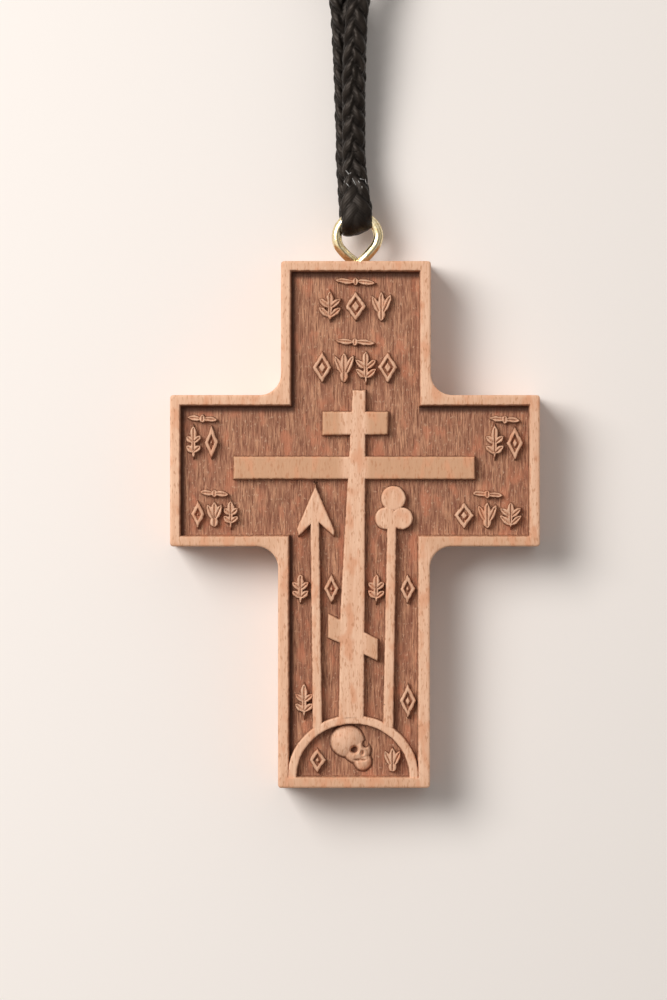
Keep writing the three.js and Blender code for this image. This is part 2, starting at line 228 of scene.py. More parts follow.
def blend_colours(tree, share, first, second):
    """Colour mixed from two colours by share."""
    inputs = {0: share, 6: first, 7: second}
    return add_node(tree, "ShaderNodeMix", inputs, data_type="RGBA", clamp_factor=True).outputs[2]


def coated(tree, colour, coats):
    """Colour with others laid over it in turn, each as far as its mask times its strength."""
    for mask, strength, coat in coats:
        colour = blend_colours(tree, calculate(tree, "MULTIPLY", mask, strength), colour, coat)
    return colour


def mask_named(tree, name):
    """A piece's own mask, one value from 0 to 1 for each vertex."""
    return add_node(tree, "ShaderNodeAttribute", attribute_name=name).outputs["Fac"]


def bumps(tree, height, strength, depth):
    """Normals of a bumpy surface, where a height of 1 stands for depth, in millimetres."""
    inputs = {"Height": height, "Strength": strength, "Distance": depth * MM}
    return add_node(tree, "ShaderNodeBump", inputs).outputs[0]


def between(tree, value, low, high):
    """0 where value is low and 1 where it is high."""
    inputs = {"Value": value, "From Min": low, "From Max": high}
    return add_node(tree, "ShaderNodeMapRange", inputs, clamp=True).outputs[0]


def stretched_noise(tree, size, detail=2.0, roughness=0.5, shift=0.0):
    """Noise whose patches have the given size along each axis, in millimetres; shift picks other noise."""
    place = add_node(tree, "ShaderNodeTexCoord").outputs["Object"]
    scale = [1 / (MM * length) for length in size]
    mapping = add_node(tree, "ShaderNodeMapping", {"Vector": place, "Scale": scale, "Location": [shift] * 3})
    inputs = {"Vector": mapping.outputs[0], "Scale": 1.0, "Detail": detail, "Roughness": roughness}
    return add_node(tree, "ShaderNodeTexNoise", inputs).outputs[0]


# Routes and skins

def smooth_route(points, steps=24):
    """Curve through the points, each piece a cubic whose slope at a point is that of its two neighbours."""
    ends = [2 * points[:1] - points[1:2], points, 2 * points[-1:] - points[-2:-1]]
    p = np.concatenate(ends)
    gap = np.linalg.norm(np.diff(p, axis=0), axis=1)[:, None] ** 0.5
    before, here, after = gap[:-2], gap[1:-1], gap[2:]
    start, end = p[1:-2], p[2:-1]
    slope_start = (start - p[:-3]) / before - (end - p[:-3]) / (before + here) + (end - start) / here
    slope_end = (end - start) / here - (p[3:] - start) / (here + after) + (p[3:] - end) / after
    slope_start = (slope_start * here)[:, None]
    slope_end = (slope_end * here)[:, None]
    t = np.linspace(0, 1, steps, endpoint=False)[None, :, None]
    start, end = start[:, None], end[:, None]
    curve = (
        start * (1 - 3 * t**2 + 2 * t**3)
        + end * (3 * t**2 - 2 * t**3)
        + slope_start * (t - 2 * t**2 + t**3)
        + slope_end * (t**3 - t**2)
    )
    return np.concatenate([curve.reshape(-1, 3), points[-1:]])


def length_along(points):
    steps = np.linalg.norm(np.diff(points, axis=0), axis=1)
    return np.concatenate([[0], np.cumsum(steps)])


def at_lengths(points, along, wanted):
    return np.stack([np.interp(wanted, along, points[:, axis]) for axis in range(3)], axis=1)


def evenly_along(curve, spacing):
    """Points about one spacing apart along a curve, and how far along it each lies."""
    along = length_along(curve)
    wanted = np.linspace(0, along[-1], int(along[-1] / spacing) + 1)
    return at_lengths(curve, along, wanted), wanted


def across_and_up(points, upright=(0, 0, 1)):
    """Two unit vectors square to a path at each of its points; the first is square to upright too."""
    tangent = unit(np.gradient(points, axis=0))
    across = unit(np.cross(upright, tangent))
    return across, np.cross(tangent, across)


def rings_round(points, side, up, half_side, half_up, angle):
    """Rings square to a path: a point lies cos(angle) half widths to the side and sin(angle) upwards."""
    out_side = (half_side * np.cos(angle))[..., None] * side[:, None]
    out_up = (half_up * np.sin(angle))[..., None] * up[:, None]
    return points[:, None] + out_side + out_up


def closed_rows(index):
    """Quads between neighbouring rows of points, where each row closes on itself."""
    after = np.roll(index, -1, axis=1)
    return np.stack([index[:-1], after[:-1], after[1:], index[1:]], axis=-1).reshape(-1, 4)


def cell_corners(grid):
    """A grid's values at the four corners of each of its cells, anticlockwise."""
    return grid[:-1, :-1], grid[:-1, 1:], grid[1:, 1:], grid[1:, :-1]


def skin(name, rings, ring_u=None, around=None, **masks):
    """Closed skin over rings of equally many points, each end closed by one flat face.

    The UV map, where it is wanted, holds one value for each ring and one for each point of a ring.
    """
    count, around_count = rings.shape[:2]
    index = np.arange(count * around_count).reshape(count, around_count)
    caps = [index[0][::-1].tolist(), index[-1].tolist()]
    uv = None
    if ring_u is not None:
        u_near, v_near = np.meshgrid(ring_u[:-1], around, indexing="ij")
        u_far = np.meshgrid(ring_u[1:], around, indexing="ij")[0]
        v_next = v_near + 1 / around_count
        corners = [(u_near, v_near), (u_near, v_next), (u_far, v_next), (u_far, v_near)]
        uv = np.stack([np.stack(pair, axis=-1) for pair in corners], axis=2).reshape(-1, 2)
        uv = np.concatenate([
            uv,
            np.stack([np.full(around_count, ring_u[0]), around[::-1]], axis=1),
            np.stack([np.full(around_count, ring_u[-1]), around], axis=1),
        ])
    masks = {mask_name: values.ravel() for mask_name, values in masks.items()}
    piece = make_piece(name, rings.reshape(-1, 3), closed_rows(index).tolist() + caps, uv, **masks)
    close_and_face_outwards(piece)
    for face in piece.data.polygons[-2:]:
        face.use_smooth = False
    return piece


# Wood: its finish

def wood_material():
    """Fruit wood with its grain along Y: pale where sanded, dark and fibrous where the tool cut it, with
    painted shade at the feet of carved walls.
    """
    material, tree, shader = new_material("fruit_wood")
    carved = mask_named(tree, "carved")
    tone = mask_named(tree, "tone")
    painted_shade = mask_named(tree, "painted_shade")
    fibre = stretched_noise(tree, (0.11, 1.4, 0.3), 2.0, 0.65)
    fibres = between(tree, fibre, 0.36, 0.66)
    streaks = between(tree, stretched_noise(tree, (0.5, 7.0, 0.8), 3.0, 0.65, 3.0), 0.36, 0.64)
    flecks = between(tree, stretched_noise(tree, (0.16, 0.6, 0.25), 1.0, 0.5, 7.0), 0.58, 0.7)
    nicks = between(tree, stretched_noise(tree, (0.2, 0.38, 0.4), 1.0, 0.5, 11.0), 0.61, 0.74)
    blotches = between(tree, stretched_noise(tree, (1.2, 2.6, 1.2), 2.0, 0.5, 15.0), 0.54, 0.67)

    sanded = coated(tree, (0.9, 0.57, 0.385, 1), (
        (streaks, 0.7, (0.78, 0.43, 0.265, 1)),
        (tone, 1.0, (0.64, 0.355, 0.205, 1)),
        (fibres, 0.28, (0.6, 0.29, 0.155, 1)),
        (blotches, 0.7, (0.72, 0.33, 0.18, 1)),
        (flecks, 0.6, (0.5, 0.21, 0.1, 1)),
    ))
    ground = coated(tree, (0.62, 0.305, 0.172, 1), (
        (fibres, 1.0, (0.19, 0.066, 0.033, 1)),
        (streaks, 0.6, (0.24, 0.083, 0.045, 1)),
        (blotches, 0.65, (0.55, 0.2, 0.105, 1)),
        (nicks, 0.6, (0.7, 0.42, 0.27, 1)),
        # Painted shade: near-black brown laid where the carving's walls shade the floor
        (painted_shade, 1.0, (0.07, 0.022, 0.01, 1)),
    ))
    colour = blend_colours(tree, carved, sanded, ground)
    depth = calculate(tree, "MULTIPLY_ADD", carved, 0.8, 0.2)
    height = calculate(tree, "MULTIPLY_ADD", nicks, 0.3, calculate(tree, "SUBTRACT", 1.0, fibre))
    height = calculate(tree, "MULTIPLY", height, depth)
    feed(tree, shader, {"Base Color": colour, "Roughness": 0.6, "Specular IOR Level": 0.3,
                        "Normal": bumps(tree, height, 0.8, 0.12)})
    return material


wood = wood_material()


# Wood: the block

# Which of a cross's twelve corners turn inwards, counted anticlockwise from its foot
hollow = np.isin(np.arange(12), [2, 5, 8, 11])


def cross_corners(sides, inset):
    """The twelve corners of a cross, anticlockwise from its foot, with every side moved inwards.

    The sides are those of its top arm, its stem, its arms, its ends and its feet.
    """
    moved = np.array(sides) + (inset, -inset)
    (top_left, top_right), (stem_left, stem_right), (low, high), (left, right), (foot, top) = moved
    return np.array([
        (stem_left, foot), (stem_right, foot), (stem_right, low), (right, low), (right, high),
        (top_right, high), (top_right, top), (top_left, top), (top_left, high), (left, high),
        (left, low), (stem_left, low),
    ])


def grid_lines(stops, step):
    """Evenly spaced lines between stops that are all lines themselves."""
    stops = sorted(set(stops))
    lines = []
    for low, high in zip(stops, stops[1:]):
        lines.append(np.linspace(low, high, math.ceil((high - low) / step) + 1)[:-1])
    return np.concatenate(lines + [stops[-1:]])


def on_side(corners, radii, side, share):
    """Point at a share of each side of the cross; near a corner it lies on that corner's arc.

    A corner's arc starts one radius before the corner. A point at s from the corner along its side is
    at 45(1 - s / r) degrees round the arc. Hollow corners have their centre outside.
    """
    start, end = corners[side], corners[(side + 1) % 12]
    length = np.linalg.norm(end - start, axis=1)
    forward = (end - start) / length[:, None]
    inward = np.stack([-forward[:, 1], forward[:, 0]], axis=1)
    point = start + (end - start) * share[:, None]
    for corner, distance, sense in ((side, share * length, 1), ((side + 1) % 12, (1 - share) * length, -1)):
        radius = radii[corner]
        near = distance < radius
        angle = np.pi / 4 * (1 - distance / np.maximum(radius, 1e-9))
        bend = np.where(hollow[corner], -1, 1)[:, None] * radius[:, None]
        arc_centre = corners[corner] + sense * forward * radius[:, None] + bend * inward
        on_arc = arc_centre - bend * inward * np.cos(angle)[:, None]
        on_arc -= sense * forward * (radius * np.sin(angle))[:, None]
        point = np.where(near[:, None], on_arc, point)
    return point


def near_walls(x, y):
    """1 on the floor beside the panel's walls, for a longer way below the upper ones, and 0 elsewhere."""
    reach_left, reach_right, reach_foot, reach_top = 0.65, 0.2, 0.14, 0.95
    inside = np.full(x.shape, -np.inf)
    for (left, right), (low, high) in (
        (mouth_top_arm, (mouth_arms[0], mouth_feet[1])),
        (mouth_stem, (mouth_feet[0], mouth_arms[1])),
        (mouth_ends, mouth_arms),
    ):
        across = np.minimum((x - left) / reach_left, (right - x) / reach_right)
        along = np.minimum((y - low) / reach_foot, (high - y) / reach_top)
        inside = np.maximum(inside, np.minimum(across, along))
    return smooth_step(inside, 1.0, 0.5)


def make_block():
    """The block as one closed skin.

    The panel's floor is a grid; its border's points are carried out in rows at the same share of each side:
    up the wall, where a point at t of the run has risen by t^1.2 of the depth, over the rim, down the side
    and under. The back is one face.
    """
    mouth_sides = (mouth_top_arm, mouth_stem, mouth_arms, mouth_ends, mouth_feet)
    foot = cross_corners(mouth_sides, wall_run)
    grid_step = 0.15
    lines_x = grid_lines(foot[:, 0], grid_step)
    lines_y = grid_lines(foot[:, 1], grid_step)
    x, y = np.meshgrid(lines_x, lines_y)
    middle_x = (x[:-1, :-1] + x[1:, 1:]) / 2
    middle_y = (y[:-1, :-1] + y[1:, 1:]) / 2
    in_stem = (middle_x > foot[0, 0]) & (middle_x < foot[1, 0]) & (middle_y < foot[2, 1])
    in_arms = (middle_y > foot[2, 1]) & (middle_y < foot[4, 1])
    in_top = (middle_x > foot[7, 0]) & (middle_x < foot[6, 0]) & (middle_y > foot[4, 1])
    inside = in_stem | in_arms | in_top
    index = np.arange(x.size).reshape(x.shape)
    cells = np.stack(cell_corners(index), axis=-1)[inside]

    border = []
    side = []
    share = []
    for number in range(12):
        start, end = foot[number], foot[(number + 1) % 12]
        axis = int(abs(end[0] - start[0]) < 1e-6)
        lines = lines_y if axis else lines_x
        first = int(np.argmin(np.abs(lines - start[axis])))
        last = int(np.argmin(np.abs(lines - end[axis])))
        steps = np.arange(first, last, 1 if last > first else -1)
        other = lines_x if axis else lines_y
        fixed = int(np.argmin(np.abs(other - start[1 - axis])))
        border.append(index[steps, fixed] if axis else index[fixed, steps])
        side.append(np.full(len(steps), number))
        share.append((lines[steps] - start[axis]) / (end[axis] - start[axis]))
    border = np.concatenate(border)
    side = np.concatenate(side)
    share = np.concatenate(share)

    knife_marks = 0.03 * unevenness(x, y, 0.3, 2.2, 3)
    waves = 0.02 * unevenness(x, y, 1.4, 1.9, 4)
    floor_z = panel_floor + knife_marks + waves
    foot_z = floor_z.ravel()[border]
    sharp = np.zeros(12)
    outline_sides = (top_arm, stem, arms, (-half_width, half_width), (-cross_top, cross_top))

    def mouth_row(outset):
        row = on_side(cross_corners(mouth_sides, -outset), sharp, side, share)
        chips = 0.035 * unevenness(row[:, 0], row[:, 1], 0.25, 0.25, 5)
        return row + chips[:, None]

    def outline_row(inset):
        radii = np.where(hollow, fillet_radius + inset, corner_radius - inset)
        return on_side(cross_corners(outline_sides, inset), radii, side, share)

    rows = []
    heights = []

    def add_row(row, height):
        rows.append(row)
        heights.append(np.full(len(side), height))

    foot_row = on_side(foot, sharp, side, share)
    mouth_line = mouth_row(0.0)
    wall_shares = np.linspace(0, 1, 9)[1:]
    mouth_angles = np.radians([30, 60, 90])
    edge_angles = np.radians([0, 22.5, 45, 67.5, 90])
    for outward in wall_shares:
        add_row(foot_row + (mouth_line - foot_row) * outward,
                foot_z + (face_z - mouth_edge - foot_z) * outward**1.2)
    for angle in mouth_angles:
        add_row(mouth_row(mouth_edge * (1 - math.cos(angle))), face_z - mouth_edge * (1 - math.sin(angle)))
    for blend in (0.25, 0.5, 0.75):
        add_row(mouth_row(mouth_edge) * (1 - blend) + outline_row(edge_radius) * blend, face_z)
    for angle in edge_angles:
        add_row(outline_row(edge_radius * (1 - math.sin(angle))),
                face_z - edge_radius * (1 - math.cos(angle)))
    for height in np.linspace(face_z - edge_radius, edge_radius, 20)[1:-1]:
        add_row(outline_row(0.0), height)
    for angle in edge_angles:
        add_row(outline_row(edge_radius * (1 - math.cos(angle))), edge_radius * (1 - math.sin(angle)))
    rows = np.array(rows)
    heights = np.array(heights)
    from_shank = np.hypot(rows[..., 0] - eye_x, heights - eye_z)
    dent = seat_depth * np.clip(1 - from_shank / seat_radius, 0, 1)
    rows[..., 1] -= np.where(rows[..., 1] > cross_top - 0.1, dent, 0)

    ids = np.concatenate([border[None], x.size + np.arange(heights.size).reshape(heights.shape)])
    grid_points = np.stack([x, y, floor_z], axis=-1).reshape(-1, 3)
    row_points = np.concatenate([rows, heights[..., None]], axis=-1).reshape(-1, 3)
    points = np.concatenate([grid_points, row_points])
    depth = np.clip((face_z - points[:, 2]) / panel_depth, 0, 1)
    in_panel = np.arange(len(points)) < x.size + (len(wall_shares) + len(mouth_angles)) * len(side)
    low_side = 0.5 * smooth_step(points[:, 2], face_z - 0.25, face_z - 0.6) * (points[:, 2] > 0.01)
    carved = np.where(in_panel, smooth_step(depth, 0.15, 0.6), low_side)
    # Painted shade at the feet of the panel's walls, reaching furthest below the upper walls and beside the
    # left ones, away from the light
    painted_wall_shade = 0.88 * near_walls(points[:, 0], points[:, 1]) * smooth_step(depth, 0.35, 0.8)
    painted_shade = np.where(in_panel, painted_wall_shade, 0)
    side_tone = np.array([0.55, 0, 0.6, 0, 0.3, 0, 0.3, 0, 0.2, 0, 0.45, 0])[side]
    reach = 7
    smoothing = np.ones(2 * reach + 1) / (2 * reach + 1)
    side_tone = np.concatenate([side_tone[-reach:], side_tone, side_tone[:reach]])
    side_tone = np.convolve(side_tone, smoothing, "valid")
    tone = np.concatenate([np.zeros(x.size), np.tile(side_tone, len(rows))])
    used, quads = np.unique(np.concatenate([cells, closed_rows(ids)]), return_inverse=True)
    back = np.searchsorted(used, ids[-1])
    faces = quads.reshape(-1, 4).tolist() + [back.tolist()]
    masks = {"carved": carved[used], "tone": tone[used], "painted_shade": painted_shade[used]}
    block = make_piece("cross_block", points[used], faces, **masks)
    close_and_face_outwards(block)
    dress(block, wood, "pendant")
    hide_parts("cross_body")


make_block()


# Wood: raised figures

figure_top = face_z - 0.1
ornament_top = face_z - 0.28
figure_root = panel_floor - 0.12


def carved_figure(name, box, step, shape, top=figure_top, run=0.15, tone=None, browned=0.0, raggedness=0.025,
                  dark_from=0.1):
    """Height field on a square grid, closed underneath by one face.

    shape gives how far a point lies inside the outline and how deep the top is cut there. Outside, the wall
    falls by 0.35 s(t) + 0.65 t of the depth, where t is the distance over the run and s a smooth step.
    Points near the outline and near the wall's foot are moved onto them.
    """
    x, y = np.meshgrid(np.arange(box[0], box[2] + step, step), np.arange(box[1], box[3] + step, step))

    def rough(x, y):
        inside, cut = shape(x, y)
        return inside + raggedness * unevenness(x, y, 0.28, 0.28, 11), cut

    inside = rough(x, y)[0]
    slope_y, slope_x = np.gradient(inside, step)
    steepness = np.maximum(np.hypot(slope_x, slope_y), 0.3)
    for level in (0.0, -run):
        move = np.where(np.abs(level - inside) < 0.5 * step, level - inside, 0) / steepness**2
        x = x + move * slope_x
        y = y + move * slope_y
    inside, cut = rough(x, y)
    away = np.maximum(-inside, 0) / run
    depth = top - panel_floor
    worn_edge = 0.04 * smooth_step(inside, 0.12, 0.0)
    waves = 0.012 * unevenness(x, y, 0.5, 1.5, 12)
    fall = depth * (0.35 * smooth_step(away) + 0.65 * away)
    z = top - worn_edge - cut + waves - fall
    cells = np.logical_or.reduce(cell_corners(z > figure_root))
    for _ in range(3):
        low_left, low_right, high_right, high_left = cell_corners(cells)
        rising = low_left & high_right & ~low_right & ~high_left
        falling = low_right & high_left & ~low_left & ~high_right
        touching = rising | falling
        for neighbours in cell_corners(cells):
            neighbours |= touching
    index = np.arange(x.size).reshape(x.shape)
    quads = np.stack(cell_corners(index), axis=-1)[cells]
    used, quads = np.unique(quads, return_inverse=True)
    points = np.stack([x, y, np.maximum(z, figure_root)], axis=-1).reshape(-1, 3)[used]
    fallen = (top - points[:, 2]) / depth
    carved = np.maximum(browned, smooth_step(fallen, dark_from, dark_from + 0.3))
    # Painted shade towards the foot of each figure's wall
    painted_shade = 0.8 * smooth_step(fallen, 0.6, 0.95)
    toned = np.zeros(len(points)) if tone is None else tone(points[:, 0], points[:, 1])
    masks = {"carved": carved, "tone": toned, "painted_shade": painted_shade}
    piece = make_piece(name, points, quads.reshape(-1, 4).tolist(), **masks)
    close_and_face_outwards(piece)
    dress(piece, wood, "pendant")
    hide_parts("cross_body")


def in_polygon(x, y, corners):
    """Distance inside the nearest side of a polygon without hollow corners, given anticlockwise."""
    inside = np.full(np.shape(x), np.inf)
    for (x0, y0), (x1, y1) in zip(corners, corners[1:] + corners[:1]):
        length = math.hypot(x1 - x0, y1 - y0)
        inside = np.minimum(inside, ((x1 - x0) * (y - y0) - (y1 - y0) * (x - x0)) / length)
    return inside


def in_ellipse(x, y, centre, radii):
    """Distance inside an ellipse, near enough: (1 - q) q over the length of q's gradient times q."""
    u = (x - centre[0]) / radii[0]
    v = (y - centre[1]) / radii[1]
    q = np.maximum(np.hypot(u, v), 1e-6)
    return (1 - q) * q / np.maximum(np.hypot(u / radii[0], v / radii[1]), 1e-6)


def in_leaf(x, y, centre, width, height, turn=0.0):
    """Distance inside a pointed leaf, where two circles overlap, and the distance to its mid-rib."""
    angle = math.radians(turn)
    u = (x - centre[0]) * math.cos(angle) + (y - centre[1]) * math.sin(angle)
    v = (y - centre[1]) * math.cos(angle) - (x - centre[0]) * math.sin(angle)
    radius = (width**2 + height**2) / (4 * width)
    return radius - np.hypot(np.abs(u) + radius - width / 2, v), np.abs(u)


def laid_together(parts):
    """Forms as one: at each point the largest distance inside, and the cut of the form that has it."""
    inside, cut = -np.inf, 0.0
    for part_inside, part_cut in parts:
        cut = np.where(part_inside > inside, part_cut, cut)
        inside = np.maximum(inside, part_inside)
    return inside, cut


def three_barred_cross(x, y):
    """Slightly uneven upright, and three bars of which the lowest slants."""
    upright = in_polygon(x, y, [(-1.55, -19.0), (0.86, -19.0), (0.9, -8.3), (1.06, 13.0), (-1.01, 13.0),
                                (-1.36, -8.3), (-1.55, -11.7)])
    upper_bar = in_polygon(x, y, [(-3.13, 8.76), (3.14, 8.8), (3.18, 10.93), (-3.1, 10.95)])
    main_bar = in_polygon(x, y, [(-11.77, 4.48), (11.63, 4.46), (11.6, 6.55), (-11.75, 6.57)])
    slant_bar = in_polygon(x, y, [(-2.57, -10.98), (2.18, -13.24), (2.18, -11.19), (-2.57, -8.76)])
    return np.maximum.reduce([upright, upper_bar, main_bar, slant_bar]), 0.0


def level_bars(x, y):
    """1 on the two level bars and less on the slanted one, away from the upright."""
    off_upright = smooth_step(np.abs(x + 0.1), 0.9, 1.7)
    level = (np.abs(y - 9.85) < 1.4) | (np.abs(y - 5.5) < 1.4)
    slanted = np.abs(y + 11) < 3
    return off_upright * np.where(level, 1.0, np.where(slanted, 0.6, 0.0))


hill_centre = (-0.19, -24.57)


def hill(x, y):
    """Half ring on the bottom rim."""
    outer = in_ellipse(x, y, hill_centre, (6.32, 5.94))
    inner = in_ellipse(x, y, hill_centre, (5.55, 5.2))
    legs = y + 24.8
    return np.minimum.reduce([outer, -inner, legs]), 0.0


def spear(x, y):
    """Barbed head on a plain shaft."""
    left_barb = in_polygon(x, y, [(-5.45, -1.05), (-3.85, 0.55), (-3.85, 3.61), (-5.6, -0.45)])
    right_barb = in_polygon(x, y, [(-3.85, 0.55), (-2.1, -1.0), (-2.05, -0.6), (-3.85, 3.61)])
    blade = in_polygon(x, y, [(-4.6, 0.2), (-3.1, 0.2), (-3.85, 3.1)])
    shaft = in_polygon(x, y, [(-4.05, -19.9), (-3.24, -19.9), (-3.55, 0.9), (-4.28, 0.9)])
    return np.maximum.reduce([left_barb, right_barb, blade, shaft]), 0.0


def reed(x, y):
    """Three round lobes on a plain stem."""
    forms = [in_polygon(x, y, [(2.79, -19.8), (3.68, -19.8), (3.98, 0.4), (3.2, 0.4)])]
    for centre, radius in (((3.74, 2.55), 1.15), ((3.02, 0.6), 1.02), ((4.57, 0.6), 1.02)):
        forms.append(in_ellipse(x, y, centre, (radius, radius)))
    return np.maximum.reduce(forms), 0.0


def skull(x, y):
    """Three overlapping domes for cranium, cheeks and jaw, with hollows for eyes, nose and mouth."""
    inside = np.full(x.shape, -np.inf)
    rise = np.zeros(x.shape)
    for centre, radii, height in (((-0.75, -21.1), (1.75, 1.65), 0.84), ((0.2, -22.05), (1.4, 1.3), 0.72),
                                  ((0.75, -23.1), (0.95, 0.95), 0.55)):
        inside = np.maximum(inside, in_ellipse(x, y, centre, radii))
        off_middle = np.hypot((x - centre[0]) / radii[0], (y - centre[1]) / radii[1])
        rise = np.maximum(rise, height * np.clip(1 - off_middle**2, 0, 1) ** 0.7)
    cut = 0.84 - np.maximum(rise, 0.15)
    for centre, radii, deep in (((-0.05, -21.95), (0.44, 0.42), 0.6), ((0.98, -21.45), (0.34, 0.38), 0.5),
                                ((0.72, -22.25), (0.2, 0.26), 0.4), ((0.5, -22.95), (0.62, 0.12), 0.3)):
        cut = cut + deep * smooth_step(in_ellipse(x, y, centre, radii), -0.1, 0.22)
    return inside, cut


carved_figure("three_barred_cross", (-12.4, -19.6, 12.3, 13.6), 0.06, three_barred_cross, tone=level_bars)
carved_figure("hill", (-6.9, -25.2, 6.6, -18.2), 0.06, hill)
carved_figure("spear", (-6.2, -20.3, -1.5, 4.2), 0.06, spear)
carved_figure("reed", (1.5, -20.3, 6.1, 4.2), 0.06, reed)
carved_figure("skull", (-3.0, -24.5, 2.3, -18.9), 0.05, skull, top=face_z - 0.16, run=0.2, browned=0.15,
              dark_from=0.5)


# Wood: small ornaments

def leaves(x, y, centre, parts):
    """Leaves laid together, each given by its middle, width, length and turn."""
    rib_depth = 0.25
    rib_half_width = 0.07
    forms = []
    for (across, up), width, length, turn in parts:
        inside, off_rib = in_leaf(x, y, (centre[0] + across, centre[1] + up), width, length, turn)
        rib = rib_depth * np.exp(-(off_rib / rib_half_width) ** 2)
        forms.append((inside, rib * smooth_step(inside, 0.03, 0.12)))
    return laid_together(forms)


def sprig(x, y, centre, width, height):
    """Upright twig with two pairs of leaves and one at its tip."""
    out = width * 0.27
    parts = [((0, 0), 0.36, height, 0.0), ((0, height * 0.3), 0.56, height * 0.44, 0.0)]
    for rise in (-0.26, 0.06):
        for hand in (-1, 1):
            parts.append(((hand * out, rise * height + 0.12), 0.5, width * 0.7, -hand * 50.0))
    return leaves(x, y, centre, parts)


def tulip(x, y, centre, width, height):
    """Three leaves spread from a pointed foot."""
    out = width * 0.27
    parts = [((0, height * 0.12), 0.6, height * 0.74, 0.0), ((0, -height * 0.3), 0.7, height * 0.42, 0.0)]
    for hand in (-1, 1):
        parts.append(((hand * out, 0.06 * height), 0.54, height * 0.7, -hand * 24.0))
    return leaves(x, y, centre, parts)


def lozenge(x, y, centre, width, height):
    """Thin lozenge frame round a small lozenge."""
    a, b = width / 2, height / 2
    inside = (1 - np.abs(x - centre[0]) / a - np.abs(y - centre[1]) / b) * a * b / math.hypot(a, b)
    hollow = smooth_step(inside, 0.23, 0.3) * smooth_step(inside, 0.52, 0.45)
    return inside, 0.38 * hollow


def twig(x, y, centre, width, height):
    """Lying twig: two long leaves and a small knot between them."""
    reach = width / 4 + 0.05
    return leaves(x, y, centre, [((-reach, 0.05), height * 0.5, width / 2, 84.0),
                                 ((reach, -0.05), height * 0.5, width / 2, 84.0),
                                 ((0, 0), height * 0.55, height * 0.75, 0.0)])


# Rows: middle, number of motifs, how far apart, width and height of each, rise and width of the twig above
ornament_rows = {
    "top_arm_ornaments": [
        ((0.07, 21.25), 3, 2.5, (1.9, 2.7), (2.4, 3.7)),
        ((0.0, 15.3), 4, 2.13, (1.75, 2.8), (2.48, 3.6)),
    ],
    "left_arm_ornaments": [
        ((-14.86, 7.98), 2, 1.75, (1.2, 2.9), (2.33, 2.7)),
        ((-13.7, 0.98), 3, 1.6, (1.2, 2.4), (2.05, 2.6)),
    ],
    "right_arm_ornaments": [
        ((14.6, 7.93), 2, 1.97, (1.5, 3.0), (2.3, 2.7)),
        ((12.9, 0.88), 3, 2.27, (1.8, 2.35), (2.05, 2.7)),
    ],
    "stem_left_ornaments": [((-3.8, -6.27), 2, 3.02, (1.35, 2.6), None)],
    "stem_right_ornaments": [((3.6, -6.27), 2, 3.05, (1.35, 2.6), None)],
    "foot_ornaments": [
        ((0.1, -17.2), 2, 10.1, (1.5, 3.0), None),
        ((0.0, -22.95), 2, 7.3, (1.5, 2.2), None),
    ],
}
bar_height = 0.9
motifs = (sprig, lozenge, tulip)


def ornament_shape(rows):
    """Shape function of an area's rows: motifs take turns along a row, and a twig lies over it."""
    def shape(x, y):
        parts = []
        for number, (centre, count, apart, size, bar) in enumerate(rows):
            for place in range(count):
                at = (centre[0] + (place - (count - 1) / 2) * apart, centre[1])
                motif = motifs[(place + number) % 3]
                parts.append(motif(x, y, at, *size))
            if bar is not None:
                at = (centre[0], centre[1] + bar[0])
                parts.append(twig(x, y, at, bar[1], bar_height))
        return laid_together(parts)
    return shape


for area, rows in ornament_rows.items():
    spans = []
    for centre, count, apart, size, bar in rows:
        reach = (count - 1) * apart / 2 + size[0] / 2
        if bar is not None:
            reach = max(reach, bar[1] / 2)
        rise = size[1] / 2 if bar is None else bar[0] + bar_height
        spans.append((centre[0] - reach, centre[1] - size[1] / 2, centre[0] + reach, centre[1] + rise))
    spans = np.array(spans)
    margin = 0.5
    area_box = (spans[:, 0].min() - margin, spans[:, 1].min() - margin,
                spans[:, 2].max() + margin, spans[:, 3].max() + margin)
    carved_figure(area, area_box, 0.05, ornament_shape(rows), top=ornament_top, run=0.12, browned=0.25,
                  raggedness=0.05)


# Screw eye

def brass_material():
    """Pale drawn brass, a little uneven in colour and polish."""
    material, tree, shader = new_material("pale_brass")
    drawn = stretched_noise(tree, (0.25, 0.25, 0.25), 3.0, 0.6)
    bright, dull = (0.88, 0.79, 0.54, 1), (0.7, 0.55, 0.27, 1)
    colour = blend_colours(tree, between(tree, drawn, 0.42, 0.68), bright, dull)
    roughness = calculate(tree, "MULTIPLY_ADD", drawn, 0.2, 0.1)
    feed(tree, shader, {"Base Color": colour, "Roughness": roughness, "Metallic": 1.0,
                        "Normal": bumps(tree, drawn, 0.25, 0.05)})
    return material


